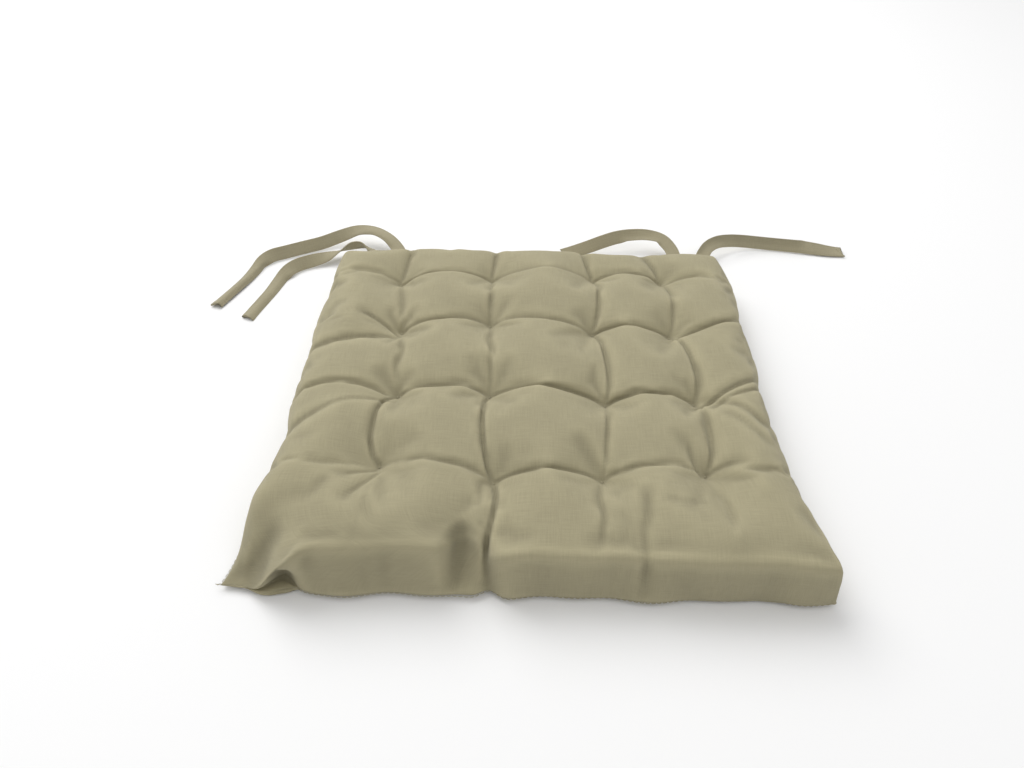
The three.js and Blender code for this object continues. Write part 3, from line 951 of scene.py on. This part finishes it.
def subdivided(cover):
    """The cover with one level of smooth subdivision, as its own mesh."""
    smooth = cover.modifiers.new("Subdivision", "SUBSURF")
    smooth.levels = smooth.render_levels = 1
    depsgraph = bpy.context.evaluated_depsgraph_get()
    mesh = bpy.data.meshes.new_from_object(cover.evaluated_get(depsgraph))
    cover.modifiers.remove(smooth)
    cover.data = mesh
    return mesh


def press_creases(mesh):
    """Presses every crease into the top, each with a slightly raised lip on its near side."""
    points, normals = points_of(mesh), normals_of(mesh)
    facing_up = smoothstep(normals[:, 2], *FACING_UP)
    move = np.zeros(len(points))
    for strength, stops in CREASES:
        low, high = stops.min(axis=0) - CREASE_MARGIN, stops.max(axis=0) + CREASE_MARGIN
        near = np.all((points[:, :2] > low) & (points[:, :2] < high), axis=1) & (facing_up > 0)
        distance, share, side = line_distance(*points[near, :2].T, stops, CREASE_STEPS)
        fade = smoothstep(share, *CREASE_FADE_IN) * (1 - smoothstep(share, *CREASE_FADE_OUT))
        lip_side = -1 if stops[-1][0] > stops[0][0] else 1
        lip = CREASE_LIP * bell(distance * side * lip_side - LIP_AWAY, LIP_WIDTH)
        line = CREASE_DEPTH * bell(distance, CREASE_WIDTH)
        move[near] += strength * fade * (lip - line)
    points = points + normals * (move * facing_up)[:, None]
    points[:, 2] = np.maximum(points[:, 2], 0)
    set_points(mesh, points)


def press_recess(mesh):
    """Pushes the wall in beside the flat ear, where the top folds over it."""
    points, normals = points_of(mesh), normals_of(mesh)
    across = bell(points[:, 0] - EAR_RECESS[0], EAR_RECESS_SIZE[0])
    upward = bell(points[:, 2] - EAR_RECESS[1], EAR_RECESS_SIZE[1])
    on_wall = smoothstep(-normals[:, 1], *FACING_FRONT) * (points[:, 1] < -HALF_DEPTH / 2)
    points[:, 1] += EAR_RECESS_DEPTH * across * upward * on_wall
    set_points(mesh, points)


def store_wear_and_fold_shade(mesh):
    """Keeps how far each point stands out from its neighbours: 1 on a ridge, made lighter as wear, and -1 in
    a fold, made darker as painted shade.
    """
    points, normals = points_of(mesh), normals_of(mesh)
    ends = np.empty(2 * len(mesh.edges), int)
    mesh.edges.foreach_get("vertices", ends)
    first, second = ends.reshape(-1, 2).T
    count = np.bincount(np.concatenate([first, second]), minlength=len(points))

    def neighbours_mean(values):
        total = np.zeros((len(points), values.shape[1]))
        np.add.at(total, first, values[second])
        np.add.at(total, second, values[first])
        return total / count[:, None]

    mean = points
    for _ in range(WEAR_AND_SHADE_ROUNDS):
        mean = neighbours_mean(mean)
    stands = np.einsum("ij,ij->i", points - mean, normals)[:, None] / WEAR_AND_SHADE_FULL
    stands = np.clip(neighbours_mean(stands), -1, 1)
    store(mesh, "wear_and_fold_shade", np.repeat(stands, 3, axis=1))


def make_cover():
    """The finished cover, and the line of its seam."""
    points, faces, pins, cloth, taut, seam = envelope()
    cover = add_mesh("pad_cover", points, faces)
    store(cover.data, "cloth", cloth)
    fill_cover(cover, pins, taut)
    seam_line = points_of(cover.data)[seam]
    mesh = subdivided(cover)
    press_creases(mesh)
    press_recess(mesh)
    # Painted shade in the folds, and wear lightening on the ridges, kept for the cotton to read.
    store_wear_and_fold_shade(mesh)
    cover.data.materials.append(COVER_CLOTH)
    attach(cover, "pad")
    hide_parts("cover_top", "cover_bottom", "filling")
    return cover, seam_line


cover, seam_line = make_cover()


# ---- Seam, closing and tuft stitches ----

SEAM_STITCH, SEAM_PITCH, SEAM_RADIUS = 3.0 * MM, 4.2 * MM, 0.28 * MM
SEAM_SHARES, SEAM_ARCH, SEAM_SUNK = (0, 0.2, 0.5, 0.8, 1), 0.45, 0.55

CLOSING_PITCH, CLOSING_RADIUS = 5.5 * MM, 0.34 * MM
CLOSING_RISE, CLOSING_ARCH, CLOSING_SUNK = 4.4, 0.9, 0.6

# How far round a tuft its highest and lowest cloth are looked for.
TUFT_REACH, TUFT_MIDDLE_Z = 2.5 * MM, 15 * MM
TUFT_THREAD_RADIUS, TUFT_THREAD_POINTS, TUFT_THREAD_TOP = 0.45 * MM, 6, 0.6 * MM
CROSS_ANGLES, CROSS_HALF, CROSS_RADIUS = (0.6, 0.6 + math.pi / 2), 1.5 * MM, 0.32 * MM
CROSS_LIFT, CROSS_ARCH = 0.1, 0.5
KNOT_RADIUS, KNOT_THREAD, KNOT_BELOW = 1.1 * MM, 0.36 * MM, 0.9 * MM
KNOT_TURNS, KNOT_POINTS, KNOT_CLIMB = 2, 22, 0.07 * MM
TAIL_ANGLES, TAIL_RADIUS = (2.2, 3.4), 0.26 * MM
TAIL_SHAPE = [(1, 0.5), (3, 0.9), (5.5, 1.0), (8, 0.7)]  # out from the knot, and below the cloth
TAIL_LOWEST = (-9, -9, 0.3 * MM)

UP = np.array([0, 0, 1])


def finish_small(parts, name, node):
    """Makes a small piece that rides on the pad and stands for one node."""
    piece = parts.build(name)
    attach(piece, "pad")
    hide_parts(node)


def seam_places(ring, pitch):
    """A stitch's two ends at even steps along the closed seam, and its outward way."""
    closed = np.concatenate([ring, ring[:1]])
    lengths = lengths_along(closed)
    count = int(lengths[-1] / pitch)
    for at in np.arange(count) * lengths[-1] / count:
        here, there = (row_at((at + step) % lengths[-1], lengths, closed) for step in (0, SEAM_STITCH))
        way = (there - here) / np.linalg.norm(there - here)
        yield here, there, np.array([way[1], -way[0], 0])


def make_seam(ring):
    parts = Parts()
    for here, there, outward in seam_places(ring, SEAM_PITCH):
        dash = []
        for share in SEAM_SHARES:
            out = (SEAM_ARCH * math.sin(math.pi * share) - SEAM_SUNK) * MM
            dash.append(here + (there - here) * share + outward * out)
        parts.add_thread(dash, SEAM_RADIUS)
    finish_small(parts, "seam_stitches", "perimeter_seam_thread")


def make_closing(ring):
    """The slanting hand stitches that close the opening the filling went in by."""
    low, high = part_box("closing_stitch")
    parts = Parts()
    for here, there, outward in seam_places(ring, CLOSING_PITCH):
        same_edge = (here[1] > 0) == (high[1] > 0)
        if not (low[0] < here[0] < high[0] and same_edge):
            continue
        dash = []
        for share in QUARTERS:
            rise = np.array([0, 0, CLOSING_RISE * (share - 0.5) * MM])
            out = (CLOSING_ARCH * math.sin(math.pi * share) - CLOSING_SUNK) * MM
            dash.append(here + (there - here) * share + rise + outward * out)
        parts.add_thread(dash, CLOSING_RADIUS)
    finish_small(parts, "closing_stitches", "closing_stitch")


def make_tuft_stitch(row, column, cover_points):
    """A thread through the pad, with a small cross on top and a knot with two tails beneath."""
    place = TUFTS[row, column]
    near = np.hypot(*(cover_points[:, :2] - place).T) < TUFT_REACH
    high = cover_points[near, 2].max()
    low = cover_points[near & (cover_points[:, 2] < TUFT_MIDDLE_Z), 2].min()
    centre = np.array([*place, 0])
    parts = Parts()
    heights = np.linspace(low, high - TUFT_THREAD_TOP, TUFT_THREAD_POINTS)
    parts.add_thread([centre + UP * z for z in heights], TUFT_THREAD_RADIUS)
    for angle in CROSS_ANGLES:
        loop = []
        for out in (-1, -0.4, 0.4, 1):
            top = high - (CROSS_LIFT + CROSS_ARCH * out * out) * MM
            loop.append(centre + around(angle) * CROSS_HALF * out + UP * top)
        parts.add_thread(loop, CROSS_RADIUS)
    knot = []
    for angle in np.linspace(0, KNOT_TURNS * 2 * math.pi, KNOT_POINTS):
        knot.append(centre + KNOT_RADIUS * around(angle) + UP * (low - KNOT_BELOW + angle * KNOT_CLIMB))
    parts.add_thread(knot, KNOT_THREAD)
    for angle in TAIL_ANGLES:
        tail = []
        for out, down in TAIL_SHAPE:
            point = centre + around(angle) * out * MM + UP * (low - down * MM)
            tail.append(np.maximum(point, TAIL_LOWEST))
        parts.add_thread(tail, TAIL_RADIUS)
    name = f"r{row + 1}c{column + 1}"
    finish_small(parts, f"tuft_stitch_{name}", f"tuft_thread_{name}")


# ---- Tie roots ----

ROOT_POINTS = 5
# Two rows of stitches on each face, as shares of the root's width and depth.
ROOT_COLUMNS, ROOT_ROWS = np.arange(-0.42, 0.43, 0.07), (-0.22, 0.22)
ROOT_STITCH, ROOT_STITCH_SLANT = 0.24, 0.5 * MM
ROOT_STITCH_ARCH, ROOT_STITCH_RADIUS = 0.15 * MM, 0.15 * MM


def make_root(name):
    """The folded end of a tie, held in the seam by two rows of close stitches."""
    low, high = (np.array(corner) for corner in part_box(name + "_root"))
    centre, size = (low + high) / 2, high - low
    across = np.array([1.0, 0, 0])
    shares = np.linspace(-0.5, 0.5, ROOT_POINTS)
    stops = [centre + np.array([0, share * size[1], 0]) for share in shares]
    section = [(x * size[0] / TAPE_WIDTH, y * size[2] / TAPE_THICKNESS) for x, y in tape_section()]
    parts = Parts()
    parts.add(sweep(stops, [across] * ROOT_POINTS, [UP] * ROOT_POINTS, section))
    for side in (-1, 1):
        face = centre + UP * side * size[2] / 2
        for x in ROOT_COLUMNS * size[0]:
            for row in ROOT_ROWS:
                start = face + across * x + np.array([0, (row - ROOT_STITCH / 2) * size[1], 0])
                end = start + np.array([ROOT_STITCH_SLANT, ROOT_STITCH * size[1], 0])
                middle = (start + end) / 2 + UP * side * ROOT_STITCH_ARCH
                parts.add_thread([start, middle, end], ROOT_STITCH_RADIUS, FINE_TUBE_SIDES)
    finish_small(parts, name.replace("tie_", "tape_") + "_root", name + "_root")


make_seam(seam_line)
make_closing(seam_line)
cover_points = points_of(cover.data)
for row, column in TUFTS:
    make_tuft_stitch(row, column, cover_points)
for name in TIES:
    make_root(name)


# ---- Floor and light ----

FLOOR_HALF, FLOOR_COLOUR, FLOOR_ROUGHNESS = 4, (0.9, 0.9, 0.9, 1), 0.9
SKY_COLOUR, SKY_STRENGTH = (1, 1, 1, 1), 0.6

# Name, place, power and size of each lamp. Both point at the middle of the pad.
LAMPS = [
    ("window", (-1.0, 1.5, 2.0), 52, 2.0),
    ("room", (0.9, -0.6, 2.0), 6, 2.0),
]


def make_floor():
    floor = add_mesh("floor", *square(FLOOR_HALF))
    nodes = Nodes("pale floor")
    nodes.fix(Base_Color=FLOOR_COLOUR, Roughness=FLOOR_ROUGHNESS)
    floor.data.materials.append(nodes.material)


def make_lights():
    world = bpy.data.worlds.new("studio")
    scene.world = world
    world.use_nodes = True
    sky = world.node_tree.nodes["Background"]
    sky.inputs["Color"].default_value = SKY_COLOUR
    sky.inputs["Strength"].default_value = SKY_STRENGTH
    scene.view_settings.view_transform = "Standard"
    for name, place, power, size in LAMPS:
        data = bpy.data.lights.new(name, "AREA")
        data.energy = power
        data.size = size
        lamp = bpy.data.objects.new(name, data)
        lamp.location = place
        lamp.rotation_euler = (-Vector(place)).to_track_quat("-Z", "Y").to_euler()
        scene.collection.objects.link(lamp)


make_floor()
make_lights()
